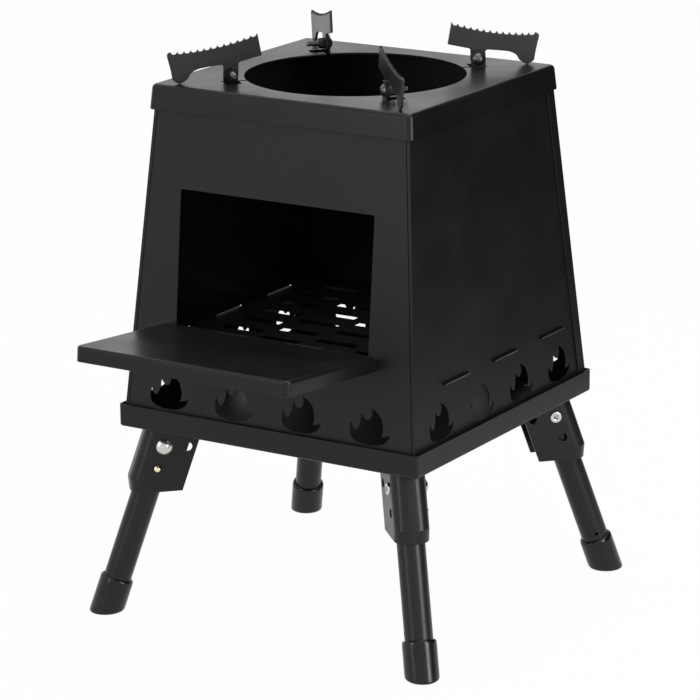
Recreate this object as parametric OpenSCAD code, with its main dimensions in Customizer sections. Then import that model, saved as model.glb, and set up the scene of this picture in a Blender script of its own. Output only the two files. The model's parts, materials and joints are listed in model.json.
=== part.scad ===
// Folding wood stove: a leaning sheet steel firebox in a shallow tray on four folding legs,
// with a fold-down fuel door, a loose top plate and four toothed pot supports that flip over.

/* [Body] */
// Width across the walls where they stand in the tray
body_base_w = 244.6; // [236:1:256]
// Width across the side walls at their top edge
body_top_w = 207; // [200:1:216]
// Depth from front wall to back wall at their top edge
body_top_d = 195; // [190:1:208]
// Height of the walls above the tray floor
body_h = 244.8; // [236:1:256]
// Thickness of the wall and grate sheet
wall_sheet = 1; // [0.8:0.1:1.2]
// Width of the back panel's flanges over the side panels
back_flange_w = 10; // [8:1:14]
// Depth of the front panel's flanges behind its face
front_flange_w = 12; // [8:1:16]

/* [Fuel opening and flame vents] */
// Width of the fuel opening
opening_w = 160; // [150:1:164]
// Height of the fuel opening's upper edge above the tray floor
opening_top = 174.5; // [160:1:180]
// Height of the door hinge axis above the tray floor
hinge_h = 76.4; // [72:1:84]
// Width of one flame vent
flame_w = 33.4; // [24:1:38]
// Height of one flame vent
flame_h = 26.6; // [18:0.2:30]
// Spacing of the flame vents
flame_pitch = 56; // [50:1:58]
// Height of the vents' lower edge above the tray floor
flame_low = 16.2; // [15.8:0.2:22]

/* [Tray] */
// Height of the tray's lip, outside
tray_h = 16.6; // [12:1:18]
// Thickness of the tray sheet
tray_sheet = 1.2; // [1:0.1:1.6]
// Free space between the widest wall and the tray's lip
tray_play = 0.4; // [0.3:0.1:1.5]
// Height of the tray's underside above the ground
stand_h = 139.7; // [130:1:150]

/* [Grate] */
// Height of the grate's underside above the tray floor
grate_h = 53.4; // [50:1:58]
// Length of one slot of the grate
slot_l = 33; // [26:1:34]
// Width of one slot of the grate
slot_w = 9; // [6:0.5:10]
// Spacing of the slots along the width
slot_pitch_x = 40.5; // [38:0.5:43]
// Spacing of the slot rows, which are staggered
slot_pitch_y = 13; // [12:0.1:13.2]
// Length of the grate's tabs and of the wall slots that they stand in
tab_l = 33; // [24:1:36]
// Spacing of the tabs
tab_pitch = 68; // [60:1:70]

/* [Door] */
// Width of the door
door_w = 174; // [170:1:180]
// Length of the door from its hinge axis to its front edge
door_l = 108; // [101:1:112]
// Height of the door's lips
door_lip_h = 11; // [8:1:13]
// Thickness of the door sheet
door_sheet = 1.2; // [1:0.1:1.5]
// Angle by which the open door rises to its front
door_rise = 5; // [1:0.1:5.5]
// Diameter of the hinge pin
hinge_pin_d = 3; // [2.5:0.1:3.2]

/* [Top plate] */
// Height of the top plate's skirt, outside
skirt_h = 17.8; // [14:1:22]
// Thickness of the top plate sheet
cap_sheet = 1.5; // [1.2:0.1:2]
// Free space between the walls and the skirt
cap_play = 1; // [0.4:0.1:1.6]
// Diameter of the fire hole
hole_d = 158; // [150:1:160]
// Rounding of the top plate's upper edges
cap_edge_r = 2.4; // [1:0.2:3]
// Rounding of the top plate's corners
cap_corner_r = 4; // [2:0.5:6]

/* [Pot supports] */
// Distance of the supports' pivots from the stove's axis
support_r = 90.2; // [89:0.2:92]
// Height of the supports' pivots above the top plate
support_pivot_h = 5.7; // [5.5:0.1:6]
// Thickness of a support
support_sheet = 2; // [1.5:0.1:2.5]
// Reach of a support from its pivot out to its outer end
support_out = 45.4; // [42:0.2:47]
// Reach of a support from its pivot in to its inner end
support_in = 22.1; // [20:0.5:23]
// Height of the inner horn above the pivot
horn_h = 28.6; // [24:0.1:29]
// Height of the low end of the toothed edge above the pivot
tooth_low_h = 17; // [16:0.5:18]
// Number of hollows along the toothed edge
tooth_count = 13; // [9:1:15]
// Depth of a hollow
tooth_depth = 1.9; // [1:0.1:2.4]
// Width of a support's stem and of its lug
stem_w = 10.6; // [10:0.2:11]
// Diameter of the support screws
screw_d = 4; // [3.5:0.1:4.2]

/* [Legs] */
// Distance of the leg pivots from the stove's axis
leg_pivot_r = 146; // [144.5:0.5:150]
// Depth of the leg pivots below the tray's underside
leg_pivot_drop = 14.7; // [14.2:0.1:16]
// Angle by which the open legs splay outward
leg_splay = 19.3; // [17:0.1:20]
// Diameter of the leg tubes
tube_d = 20; // [18:0.5:20]
// Wall of the leg tubes
tube_wall = 1.2; // [1:0.1:1.6]
// Reach of a tube above its pivot
tube_over = 9; // [8:0.5:9]
// Diameter of the foot caps
foot_d = 24.4; // [23:0.2:24.6]
// Length of a foot cap along the leg
foot_l = 27; // [23:1:34]
// Angle from the open leg to the folded leg
fold_angle = 105; // [100:1:106]

/* [Leg brackets] */
// Thickness of the bracket sheet
bracket_sheet = 1.5; // [1.2:0.1:1.6]
// Free space between a tube and each side plate
bracket_play = 1; // [0.6:0.1:1.4]
// Distance from the tube's axis to the outside of the bracket's back
bracket_back = 15.6; // [15.4:0.1:17.4]
// Distance from the tube's axis to the open edge of the side plates
bracket_front = 22.9; // [21.5:0.1:24]
// Height of a bracket below the tray
bracket_h = 48.6; // [44:0.5:52]
// Rounding of the bracket's back edges
bracket_r = 10; // [4:0.5:10]
// Distance from the leg pivot to the snap button
button_reach = 17.2; // [16.5:0.1:17.5]
// Diameter of the snap button
button_d = 5.8; // [5:0.1:6]
// Travel of the snap button
button_travel = 2.5; // [1.5:0.1:3]

/* [Hidden] */

// Rounds for turned pieces and for hull children
round_fn = 64;
hull_fn = 32;
// Overrun of every cut
over = 1;
// Gap between sheets that lie face to face, and the gap at a stop
seam = 0.1;
// Radial clearance of a pin in a running bore, and of a fixed pin in its hole
run_fit = 0.05;
fixed_fit = 0.02;
// Gap between pieces that move past each other
move_gap = 0.3;
quarter = 90;
half_turn = 180;
full_turn = 360;
diagonal = 45;
corners = [0, 1, 2, 3];

// Body: half sizes at the base, the walls' leans and their slant heights
base_half = body_base_w / 2;
top_half_x = body_top_w / 2;
top_half_y = body_top_d / 2;
lean_x = atan((base_half - top_half_x) / body_h);
lean_y = atan((base_half - top_half_y) / body_h);
floor_z = stand_h + tray_sheet;
wall_top_z = floor_z + body_h;

// Front corner: the side panels turn in by a narrow lip, beside a seam with the front panel
corner_lip = 2.4 * wall_sheet;
corner_seam = 0.4 * wall_sheet;
flange_inset = corner_lip + corner_seam;

// Tray: its half size follows the back panel's flanges, which are the widest thing in it
tray_half = base_half + seam + wall_sheet + tray_play + tray_sheet;
tray_corner_r = 2.5 * tray_sheet;

// Grate: it reaches the side walls at its own height, and its tabs reach past them
grate_z = floor_z + grate_h;
grate_half_x = base_half - grate_h * tan(lean_x) - wall_sheet - move_gap - wall_sheet * tan(lean_x);
grate_half_y = base_half - grate_h * tan(lean_y) - wall_sheet - move_gap - wall_sheet * tan(lean_y);
grate_top_h = grate_h + wall_sheet;
notch_x = base_half - grate_top_h * tan(lean_x) - (flange_inset + wall_sheet) / cos(lean_x) - move_gap;
notch_y = base_half - grate_top_h * tan(lean_y) - front_flange_w - move_gap;
slot_cols = 2 * floor((grate_half_x - slot_l / 2) / slot_pitch_x) + 1;
slot_rows = 2 * floor((grate_half_y - slot_w) / slot_pitch_y) + 1;
slot_phase = (slot_cols + slot_rows) / 2 - 1;
slot_shift = -2;
tab_shift = 7;
tab_past = 2;
tab_count = 3;
tab_slot_h = 2 * wall_sheet;
tab_slot_play = 0.5 * wall_sheet;

// Door hinge: rolled knuckles round the pin, tangent to the door's upper face
hinge_z = floor_z + hinge_h;
knuckle_r = hinge_pin_d / 2 + run_fit + door_sheet;
hinge_off = knuckle_r + move_gap;
hinge_y = -(base_half - hinge_h * tan(lean_y) + hinge_off / cos(lean_y));
hinge_l = 150;
knuckle_count = 5;
knuckle_l = hinge_l / knuckle_count;
knuckle_clear = 1.15 * knuckle_r + move_gap;
door_corner_r = 5;
door_in_r = door_corner_r - door_sheet;
pin_past = hinge_pin_d / 2;

// Top plate: it sits on the walls' top edges and its skirt follows their lean
cap_under_z = wall_top_z + seam;
cap_top_z = cap_under_z + cap_sheet;
skirt_low_z = cap_top_z - skirt_h;
cap_clear = seam + wall_sheet + cap_play;
cap_step = 0.01 * cap_sheet;

// Pot supports: the lug stands in the plane of the diagonal, the support beside it
lug_gap = 0.15;
support_off = cap_sheet / 2 + lug_gap;
lug_top_h = support_pivot_h + stem_w * 0.62;
lug_r = stem_w * 0.3;
lug_bore_r = screw_d / 2 + fixed_fit;
support_bore_r = screw_d / 2 + run_fit;
window_w = lug_top_h + cap_sheet / 2;
flip_slot_out = 0.7 * stem_w;
flip_slot_play = 0.6;
screw_head_d = 2.3 * screw_d;
screw_head_h = 0.68 * screw_d;
nut_w = 1.75 * screw_d;
nut_h = 1.05 * screw_d;
nut_off = support_off + support_sheet + lug_gap;
screw_end_off = nut_off + nut_h + 2.2 * screw_d;

// Legs: lengths along the leg from its pivot, which lies below the tray
leg_pivot_z = stand_h - leg_pivot_drop;
leg_l = leg_pivot_z / cos(leg_splay);
foot_r = leg_pivot_r + leg_pivot_z * tan(leg_splay);
tube_r = tube_d / 2;
tube_in_r = tube_r - tube_wall;
foot_wall = (foot_d - tube_d) / 2;
foot_seat = 6;
tube_low = leg_l - foot_seat - tube_r * tan(leg_splay);
foot_rim = leg_l - foot_l;
foot_rim_r = foot_d / 2 - foot_wall / 3;
pin_hole_d = 2.5;

// Leg brackets: their flanges are riveted at a set distance from the tray's corners
plate_in = tube_r + bracket_play;
plate_out = plate_in + bracket_sheet;
bracket_low_z = stand_h - bracket_h;
stop_h = 10;
core_flare = 10;
bracket_reach = bracket_h + leg_pivot_drop;
button_hole_r = 1.1 * button_d / 2;
flange_l = 26;
flange_w = 12;
rivet_inset = 42.8;
flange_mid_r = norm([tray_half, tray_half]) - rivet_inset;
flange_low_r = flange_mid_r - flange_l / 2;
flange_high_r = max(flange_mid_r + flange_l / 2, leg_pivot_r);
rivet_d = 4;
rivet_head_d = 2 * rivet_d;
rivet_head_h = 0.45 * rivet_d;

// Leg pivot rivets
pivot_d = 6;
pivot_head_d = 2 * pivot_d;
pivot_head_h = 0.5 * pivot_d;
pivot_ring_d = 1.45 * pivot_d;
pivot_ring_h = 0.25 * pivot_d;
pivot_bore_d = 0.6 * pivot_d;
pivot_bore_l = 1.2 * pivot_d;

// Snap button and its spring, inside the tube
button_tip_off = plate_in - seam;
button_dome_h = 0.25 * button_d;
button_l = 0.95 * tube_r;
button_collar_d = 1.4 * button_d;
button_collar_h = 0.2 * button_d;
spring_strip = 0.6;
spring_w = 0.9 * button_d;
spring_l = 1.6 * tube_r;
spring_bend_r = 2.2;

// Shift along Y that puts the origin in the middle of the footprint, the open door included
door_front_y = hinge_y - door_l * cos(door_rise) - (door_lip_h - knuckle_r) * sin(door_rise);
foot_back_y = foot_r * cos(diagonal) + norm([foot_d / 2, foot_d / 2 / cos(leg_splay)]) * cos(diagonal);
stove_y = -(door_front_y + foot_back_y) / 2;

// Outline of a flame as shares of half its width and of its height.
// Each row is the end of a curve and the point that bends it.
flame_shares = [
    [[0.76, 0.12], [0.5, 0]], [[0.99, 0.36], [0.94, 0.2]], [[0.56, 0.27], [0.78, 0.27]],
    [[0.62, 0.58], [0.7, 0.4]], [[0.02, 1], [0.56, 0.87]], [[-0.01, 0.69], [0.18, 0.84]],
    [[-0.22, 0.67], [-0.1, 0.62]], [[-0.43, 0.81], [-0.3, 0.7]], [[-0.62, 0.36], [-0.45, 0.5]],
    [[-0.92, 0.56], [-0.81, 0.34]], [[-0.91, 0.15], [-1.02, 0.32]], [[0, 0], [-0.66, 0]]
];
flame_steps = 3;
flame_count = 4;

// Lower edge of a pot support as shares of its outer reach and of its pivot height:
// from the stem's foot of the bar round the arch to the foot and up to the outer corner
arch_shares = [[0.35, 0.95], [0.5, 0.77], [0.58, 0.53], [0.64, 0.18], [0.68, -0.39], [0.74, -0.77]];
foot_shares = [[0.81, -1], [0.87, -0.81], [0.92, -0.5], [0.945, 0.7]];
bar_low_share = 1.12;
bar_in_low_share = 2.05;
stem_fillet_share = 0.2;
end_round_share = 0.06;
valley_steps = 6;
arc_steps = 8;

function curve_point(a, c, b, t) = (1 - t) * (1 - t) * a + 2 * t * (1 - t) * c + t * t * b;
function flame_row_start(i) = i == 0 ? [0, 0] : flame_shares[i - 1][0];
function flame_points() = [
    for (i = [0 : len(flame_shares) - 1]) for (s = [1 : flame_steps])
        let (p = curve_point(flame_row_start(i), flame_shares[i][1], flame_shares[i][0], s / flame_steps))
        [p.x * flame_w / 2, p.y * flame_h]
];

// Height of the toothed edge's tips: lowest at the outer end, rising to the horn
function tip_h(x) = tooth_low_h
    + (horn_h - tooth_low_h) * pow((support_out - x) / (support_out + support_in), 2);
function tooth_x(k) = -support_in * 0.87 + k * (support_out * 0.94 + support_in * 0.87) / tooth_count;
function tooth_edge() = [
    for (k = [0 : tooth_count - 1]) for (s = [0 : valley_steps - 1])
        let (x = tooth_x(k) + (tooth_x(k + 1) - tooth_x(k)) * s / valley_steps)
        [x, tip_h(x) - tooth_depth * sqrt(1 - pow(2 * s / valley_steps - 1, 2))]
];

// Puts a wall's own plane in place: x along the wall, y up its slope, z outward.
// Walls run 0 front, 1 right, 2 back, 3 left.
module on_wall(side) {
    rotate([0, 0, quarter * side])
        translate([0, -base_half, floor_z])
            rotate([quarter - wall_lean(side), 0, 0])
                children();
}

function wall_lean(side) = side % 2 == 0 ? lean_y : lean_x;
function wall_slant(side) = body_h / cos(wall_lean(side));
function wall_top_half(side) = side % 2 == 0 ? top_half_x : top_half_y;

// Height along the slope at which a sheet behind the wall's plane clears the tray floor,
// and half the wall's width there
function wall_foot(side, depth) = max(0, depth + wall_sheet) * tan(wall_lean(side)) + fixed_fit;
function foot_half(side, depth) = base_half
    - (base_half - wall_top_half(side)) * wall_foot(side, depth) / wall_slant(side);

// Sheet outline of a wall, cut back by an inset at its left and right edges
module wall_outline(side, inset_l, inset_r) {
    slant = wall_slant(side);
    top = wall_top_half(side);
    foot = wall_foot(side, 0);
    half = foot_half(side, 0);
    polygon([
        [-half + inset_l, foot], [half - inset_r, foot],
        [top - inset_r, slant], [-top + inset_l, slant]
    ]);
}

// Strip along a wall's right edge, or its left edge when mirrored, at a depth behind its plane
module wall_edge_strip(side, width, depth) {
    slant = wall_slant(side);
    top = wall_top_half(side);
    foot = wall_foot(side, depth);
    half = foot_half(side, depth);
    polygon([[half - width, foot], [half, foot], [top, slant], [top - width, slant]]);
}

// A sheet that lies behind the wall's outer plane by a depth
module wall_sheet_at(depth) {
    translate([0, 0, -depth - wall_sheet])
        linear_extrude(wall_sheet)
            children();
}

module flame_vents() {
    for (i = [0 : flame_count - 1])
        translate([(i - (flame_count - 1) / 2) * flame_pitch, flame_low])
            polygon(flame_points());
}

module rounded_rect(w, d, r) {
    square([w - 2 * r, d], center = true);
    square([w, d - 2 * r], center = true);
    for (sx = [-1, 1], sy = [-1, 1])
        translate([sx * (w / 2 - r), sy * (d / 2 - r)])
            circle(r, $fn = round_fn);
}

module rod(r, l) {
    cylinder(h = l, r = r, $fn = round_fn);
}

// Stove placement, and the placement of each corner on its diagonal
module on_stove() {
    translate([0, stove_y, 0])
        children();
}

module on_corner(i) {
    on_stove()
        rotate([0, 0, diagonal + quarter * i])
            children();
}

// Leg placement: origin at the pivot, z up along the leg, y along the pivot
module on_leg(i) {
    on_corner(i)
        translate([leg_pivot_r, 0, leg_pivot_z])
            rotate([0, -leg_splay, 0])
                children();
}

// Turns a piece drawn along z to lie along the pivot, its start at an offset
module along_pivot(off) {
    translate([0, off, 0])
        rotate([-quarter, 0, 0])
            children();
}

module tray() {
    color("#3c3d3f")
        on_stove()
            translate([0, 0, stand_h])
                difference() {
                    linear_extrude(tray_h)
                        rounded_rect(2 * tray_half, 2 * tray_half, tray_corner_r);
                    translate([0, 0, tray_sheet])
                        linear_extrude(tray_h)
                            rounded_rect(2 * (tray_half - tray_sheet), 2 * (tray_half - tray_sheet),
                                tray_corner_r - tray_sheet);
                    for (i = corners)
                        rotate([0, 0, diagonal + quarter * i])
                            rivet_places()
                                translate([0, 0, -over])
                                    rod(rivet_d / 2 + fixed_fit, tray_sheet + 2 * over);
                }
}

module front_panel() {
    color("#3c3d3f")
        on_stove()
            difference() {
                union() {
                    on_wall(0)
                        wall_sheet_at(0)
                            difference() {
                                wall_outline(0, flange_inset, flange_inset);
                                opening_cut();
                                flame_vents();
                            }
                    on_wall(1)
                        wall_sheet_at(flange_inset)
                            mirror([1, 0])
                                wall_edge_strip(1, front_flange_w, flange_inset);
                    on_wall(3)
                        wall_sheet_at(flange_inset)
                            wall_edge_strip(3, front_flange_w, flange_inset);
                    hinge_place()
                        for (k = [1 : 2 : knuckle_count - 1])
                            panel_knuckle(k);
                }
                hinge_place()
                    hinge_bore();
            }
}

module opening_cut() {
    low = (hinge_h + knuckle_r / 2) / cos(lean_y);
    high = opening_top / cos(lean_y);
    translate([-opening_w / 2, low])
        square([opening_w, high - low]);
}

module back_panel() {
    wide = -seam - wall_sheet;
    color("#3c3d3f")
        on_stove() {
            on_wall(2)
                wall_sheet_at(0)
                    difference() {
                        wall_outline(2, wide, wide);
                        flame_vents();
                    }
            on_wall(1)
                wall_sheet_at(wide)
                    wall_edge_strip(1, back_flange_w, wide);
            on_wall(3)
                wall_sheet_at(wide)
                    mirror([1, 0])
                        wall_edge_strip(3, back_flange_w, wide);
        }
}

// A side panel: its face, the slots for the grate's tabs, and the lip round the front corner
module side_panel(side) {
    toward_back = side == 1 ? 1 : -1;
    behind = wall_sheet + seam;
    color("#3c3d3f")
        on_stove() {
            on_wall(side)
                wall_sheet_at(0)
                    difference() {
                        wall_outline(side, side == 1 ? 0 : behind, side == 1 ? behind : 0);
                        flame_vents();
                        for (k = [0 : tab_count - 1])
                            translate([toward_back * tab_y(k), (grate_h - seam) / cos(lean_x) + tab_slot_h / 2])
                                square([tab_l + 2 * tab_slot_play, tab_slot_h], center = true);
                    }
            on_wall(0)
                wall_sheet_at(0)
                    mirror([side == 1 ? 0 : 1, 0])
                        wall_edge_strip(0, corner_lip, 0);
        }
}

function tab_y(k) = tab_shift + (k - (tab_count - 1) / 2) * tab_pitch;

module left_panel() {
    side_panel(3);
}

module right_panel() {
    side_panel(1);
}

module grate() {
    tab_reach = base_half - grate_h * tan(lean_x) + tab_past;
    color("#2b2b2c")
        on_stove()
            translate([0, 0, grate_z])
                linear_extrude(wall_sheet)
                    difference() {
                        union() {
                            square([2 * grate_half_x, 2 * grate_half_y], center = true);
                            for (k = [0 : tab_count - 1])
                                translate([0, tab_y(k)])
                                    square([2 * tab_reach, tab_l], center = true);
                        }
                        for (sx = [-1, 1])
                            translate([sx * (notch_x + grate_half_x) - grate_half_x, -notch_y - grate_half_y])
                                square([2 * grate_half_x, grate_half_y]);
                        for (i = [0 : slot_cols - 1], j = [0 : slot_rows - 1]) if ((i + j - slot_phase) % 2 == 0)
                            translate([
                                (i - (slot_cols - 1) / 2) * slot_pitch_x,
                                (j - (slot_rows - 1) / 2) * slot_pitch_y + slot_shift
                            ])
                                square([slot_l, slot_w], center = true);
                    }
}

// Hinge placement: origin on the hinge axis at the middle of the front wall
module hinge_place() {
    translate([0, hinge_y, hinge_z])
        children();
}

// Turns a piece drawn along z to lie along the hinge axis, centred on it
module along_hinge(l) {
    translate([-l / 2, 0, 0])
        rotate([0, quarter, 0])
            children();
}

function knuckle_x(k) = (k - (knuckle_count - 1) / 2) * knuckle_l;

module hinge_bore() {
    along_hinge(hinge_l + 2 * over)
        rod(hinge_pin_d / 2 + run_fit, hinge_l + 2 * over);
}

// A knuckle of the front panel, on a tab bent out of it below the opening
module panel_knuckle(k) {
    l = knuckle_l - 2 * move_gap;
    translate([knuckle_x(k), 0, 0]) {
        along_hinge(l)
            rod(knuckle_r, l);
        translate([-l / 2, 0, -knuckle_r])
            cube([l, hinge_off / cos(lean_y) + knuckle_r * tan(lean_y) + wall_sheet / 2, door_sheet]);
    }
}

// Outline of the door in plan, with round front corners
module door_outline(w, l, r) {
    difference() {
        union() {
            translate([-w / 2, -l + r])
                square([w, l - r]);
            translate([-w / 2 + r, -l])
                square([w - 2 * r, r + over]);
            for (sx = [-1, 1])
                translate([sx * (w / 2 - r), -l + r])
                    circle(r, $fn = round_fn);
        }
    }
}

// The door: a pan with its lips turned down, and three knuckles under its rear edge
module door() {
    top = knuckle_r;
    stop_lean = lean_y - door_rise;
    stop_y = (hinge_off - seam) / cos(stop_lean);
    color("#3c3d3f")
        on_stove()
            hinge_place()
                rotate([-door_rise, 0, 0])
                    difference() {
                        union() {
                            translate([0, 0, top - door_sheet])
                                linear_extrude(door_sheet)
                                    difference() {
                                        door_outline(door_w, door_l, door_corner_r);
                                        for (k = [1 : 2 : knuckle_count - 1])
                                            translate([knuckle_x(k) - knuckle_l / 2, -knuckle_clear])
                                                square([knuckle_l, knuckle_clear + over]);
                                    }
                            translate([0, 0, top - door_lip_h])
                                linear_extrude(door_lip_h)
                                    difference() {
                                        door_outline(door_w, door_l, door_corner_r);
                                        door_outline(door_w - 2 * door_sheet, door_l - door_sheet, door_in_r);
                                        translate([-door_w / 2 + door_sheet, -door_sheet])
                                            square([door_w - 2 * door_sheet, door_sheet + over]);
                                    }
                            for (sx = [-1, 1])
                                translate([sx * (door_w - door_sheet) / 2 - door_sheet / 2, 0, 0])
                                    rotate([quarter, 0, quarter])
                                        linear_extrude(door_sheet)
                                            polygon([
                                                [-door_sheet, -move_gap], [stop_y, -move_gap],
                                                [stop_y - (door_lip_h - top) * tan(stop_lean), top - door_lip_h],
                                                [-door_sheet, top - door_lip_h]
                                            ]);
                            for (k = [0 : 2 : knuckle_count - 1])
                                translate([knuckle_x(k), 0, 0])
                                    along_hinge(knuckle_l - 2 * move_gap)
                                        rod(knuckle_r, knuckle_l - 2 * move_gap);
                        }
                        hinge_bore();
                    }
}

module door_hinge_pin() {
    l = hinge_l + 2 * pin_past;
    color("#b9b9b7")
        on_stove()
            hinge_place()
                along_hinge(l)
                    rod(hinge_pin_d / 2, l);
}

// Half width of the skirt's outside at a height, along X or Y
function skirt_half(top_half, lean, z) = top_half + (wall_top_z - z) * tan(lean) + cap_clear + cap_sheet;

// Thin slab of the cap's outline at a height, cut back by an inset
module cap_layer(z, inset) {
    translate([0, 0, z])
        linear_extrude(cap_step)
            rounded_plan(2 * (skirt_half(top_half_x, lean_x, z) - inset),
                2 * (skirt_half(top_half_y, lean_y, z) - inset), max(cap_corner_r - inset, cap_sheet / 2));
}

module rounded_plan(w, d, r) {
    for (sx = [-1, 1], sy = [-1, 1])
        translate([sx * (w / 2 - r), sy * (d / 2 - r)])
            circle(r, $fn = hull_fn);
}

module top_plate() {
    bend = 1 - cos(diagonal);
    color("#3c3d3f")
        on_stove() {
            difference() {
                hull() {
                    cap_layer(skirt_low_z, 0);
                    cap_layer(cap_top_z - cap_edge_r, 0);
                    cap_layer(cap_top_z - cap_edge_r * bend, cap_edge_r * bend);
                    cap_layer(cap_top_z - cap_step, cap_edge_r);
                }
                hull() {
                    cap_layer(skirt_low_z - over, cap_sheet);
                    cap_layer(cap_under_z - cap_step, cap_sheet);
                }
                translate([0, 0, cap_under_z - over])
                    rod(hole_d / 2, cap_sheet + 2 * over);
                for (i = corners)
                    rotate([0, 0, diagonal + quarter * i])
                        translate([support_r, 0, cap_under_z - over])
                            linear_extrude(cap_sheet + 2 * over)
                                flip_cut();
            }
            for (i = corners)
                rotate([0, 0, diagonal + quarter * i])
                    lug();
        }
}

// Cut in the top plate: the window that the lug was bent out of, and the slot that lets
// the support swing through the hole's rim
module flip_cut() {
    slot_w = support_off + support_sheet + flip_slot_play - cap_sheet / 2;
    reach_in = support_r - hole_d / 2 + over;
    translate([-stem_w / 2, cap_sheet / 2])
        square([stem_w, window_w]);
    translate([-reach_in, cap_sheet / 2])
        square([reach_in + flip_slot_out, slot_w]);
}

// Lug bent up from the top plate, with the hole for the support's screw
module lug() {
    translate([support_r, cap_sheet / 2, cap_top_z])
        rotate([quarter, 0, 0])
            linear_extrude(cap_sheet)
                difference() {
                    union() {
                        translate([-stem_w / 2, -cap_sheet])
                            square([stem_w, cap_sheet + lug_top_h - lug_r]);
                        translate([-stem_w / 2 + lug_r, 0])
                            square([stem_w - 2 * lug_r, lug_top_h]);
                        for (s = [-1, 1])
                            translate([s * (stem_w / 2 - lug_r), lug_top_h - lug_r])
                                circle(lug_r, $fn = round_fn);
                    }
                    translate([0, support_pivot_h])
                        circle(lug_bore_r, $fn = round_fn);
                }
}

// Support screws and nuts: one per corner, along the pivot of its support
module at_support_pivots() {
    for (i = corners)
        on_corner(i)
            translate([support_r, 0, cap_top_z + support_pivot_h])
                children();
}

module support_screws() {
    head_off = -cap_sheet / 2;
    dome_r = (pow(screw_head_d / 2, 2) + pow(screw_head_h, 2)) / (2 * screw_head_h);
    color("#6f6f70")
        at_support_pivots() {
            along_pivot(head_off)
                rod(screw_d / 2, screw_end_off - head_off);
            along_pivot(head_off)
                dome(dome_r, screw_head_h);
        }
}

// A dome that rises toward negative z from the plane z = 0
module dome(r, h) {
    rotate_extrude($fn = round_fn)
        intersection() {
            translate([0, r - h])
                circle(r, $fn = 2 * round_fn);
            translate([0, -h])
                square([r, h]);
        }
}

module support_nuts() {
    hex_sides = 6;
    chamfer_r = nut_w / 2;
    color("#8b8b8a")
        at_support_pivots()
            along_pivot(nut_off)
                difference() {
                    union() {
                        cylinder(h = 0.7 * nut_h, r = nut_w / 2 / cos(half_turn / hex_sides), $fn = hex_sides);
                        rod(chamfer_r * 0.92, nut_h);
                    }
                    translate([0, 0, -over])
                        rod(screw_d / 2 + fixed_fit, nut_h + 2 * over);
                }
}

// Outline of a pot support, x outward from the pivot and y up
module support_outline() {
    h = support_pivot_h;
    r = stem_w / 2;
    f = stem_fillet_share * stem_w;
    low_in = bar_in_low_share * h;
    low = bar_low_share * h;
    low_stem_in = low + (low_in - low) * (r + f) / support_in;
    end_r = support_out * end_round_share;
    difference() {
        polygon(concat(
            tooth_edge(),
            arc(support_out - end_r, tip_h(support_out) - end_r, end_r, quarter, 0),
            shares_back(foot_shares, support_out, h),
            shares_back(arch_shares, support_out, h),
            arc(r + f, low - f, f, quarter, half_turn),
            arc(0, 0, r, 0, -half_turn),
            arc(-r - f, low_stem_in - f, f, 0, quarter),
            [[-support_in, low_in]]
        ));
        circle(support_bore_r, $fn = round_fn);
    }
}

function shares_back(rows, w, h) = [
    for (i = [len(rows) - 1 : -1 : 0]) [rows[i].x * w, rows[i].y * h]
];

function arc(x, y, r, a, b) = [
    for (k = [0 : arc_steps]) let (t = a + (b - a) * k / arc_steps) [x + r * cos(t), y + r * sin(t)]
];

module pot_support(i) {
    color("#39393a")
        on_corner(i)
            translate([support_r, support_off + support_sheet, cap_top_z + support_pivot_h])
                rotate([quarter, 0, 0])
                    linear_extrude(support_sheet)
                        support_outline();
}

// Places of a bracket's two rivets on its diagonal
module rivet_places() {
    for (s = [-1, 1])
        translate([flange_mid_r, s * (plate_out + flange_w / 2), 0])
            children();
}

module bracket_rivets() {
    color("#8f8f8d")
        for (i = corners)
            on_corner(i)
                translate([0, 0, stand_h - bracket_sheet])
                    rivet_places() {
                        rod(rivet_d / 2, bracket_sheet + tray_sheet);
                        translate([0, 0, bracket_sheet + tray_sheet])
                            rod(0.8 * rivet_d, rivet_head_h / 2);
                        dome((pow(rivet_head_d / 2, 2) + pow(rivet_head_h, 2)) / (2 * rivet_head_h),
                            rivet_head_h);
                    }
}

// A leg bracket: a channel round the tube's top end, with a round-edged back that turns in at
// its lower end as a stop for the tube, drilled side plates and two flanges under the tray
module leg_bracket(i) {
    color("#3c3d3f")
        difference() {
            union() {
                intersection() {
                    on_leg(i)
                        bracket_channel();
                    bracket_zone(i);
                }
                on_corner(i)
                    translate([flange_low_r, 0, stand_h - bracket_sheet])
                        for (s = [-1, 1])
                            translate([0, s * (plate_in + flange_w / 2) - flange_w / 2, 0])
                                cube([flange_high_r - flange_low_r, flange_w, bracket_sheet]);
            }
            on_leg(i) {
                across(pivot_d / 2 + fixed_fit, 0, 0);
                across(button_hole_r, 0, -button_reach);
                across(button_hole_r, -button_reach * sin(fold_angle), -button_reach * cos(fold_angle));
            }
            on_corner(i)
                translate([0, 0, stand_h - bracket_sheet - over])
                    rivet_places()
                        rod(rivet_d / 2 + fixed_fit, bracket_sheet + 2 * over);
        }
}

// A drill across both side plates
module across(r, x, z) {
    translate([x, 0, z])
        along_pivot(-plate_out - over)
            rod(r, 2 * (plate_out + over));
}

// Block between the tray and the bracket's lower edge
module bracket_zone(i) {
    long = 2 * (bracket_back + bracket_front);
    on_corner(i)
        translate([leg_pivot_r - long / 2, -plate_out - over, bracket_low_z])
            cube([long, 2 * (plate_out + over), bracket_h]);
}

// Height along the leg of a point that lies at a world height and a distance off the tube's axis
function along_leg(z, off) = (z - leg_pivot_z - off * sin(leg_splay)) / cos(leg_splay);

module bracket_channel() {
    turn_z = along_leg(bracket_low_z + stop_h, bracket_back);
    end_x = tube_r + seam / 2 + bracket_sheet;
    turn = atan((bracket_back - end_x) / (turn_z - along_leg(bracket_low_z, end_x)));
    difference() {
        channel_core(0, turn_z, turn);
        channel_core(bracket_sheet, turn_z, turn);
    }
}

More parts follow.
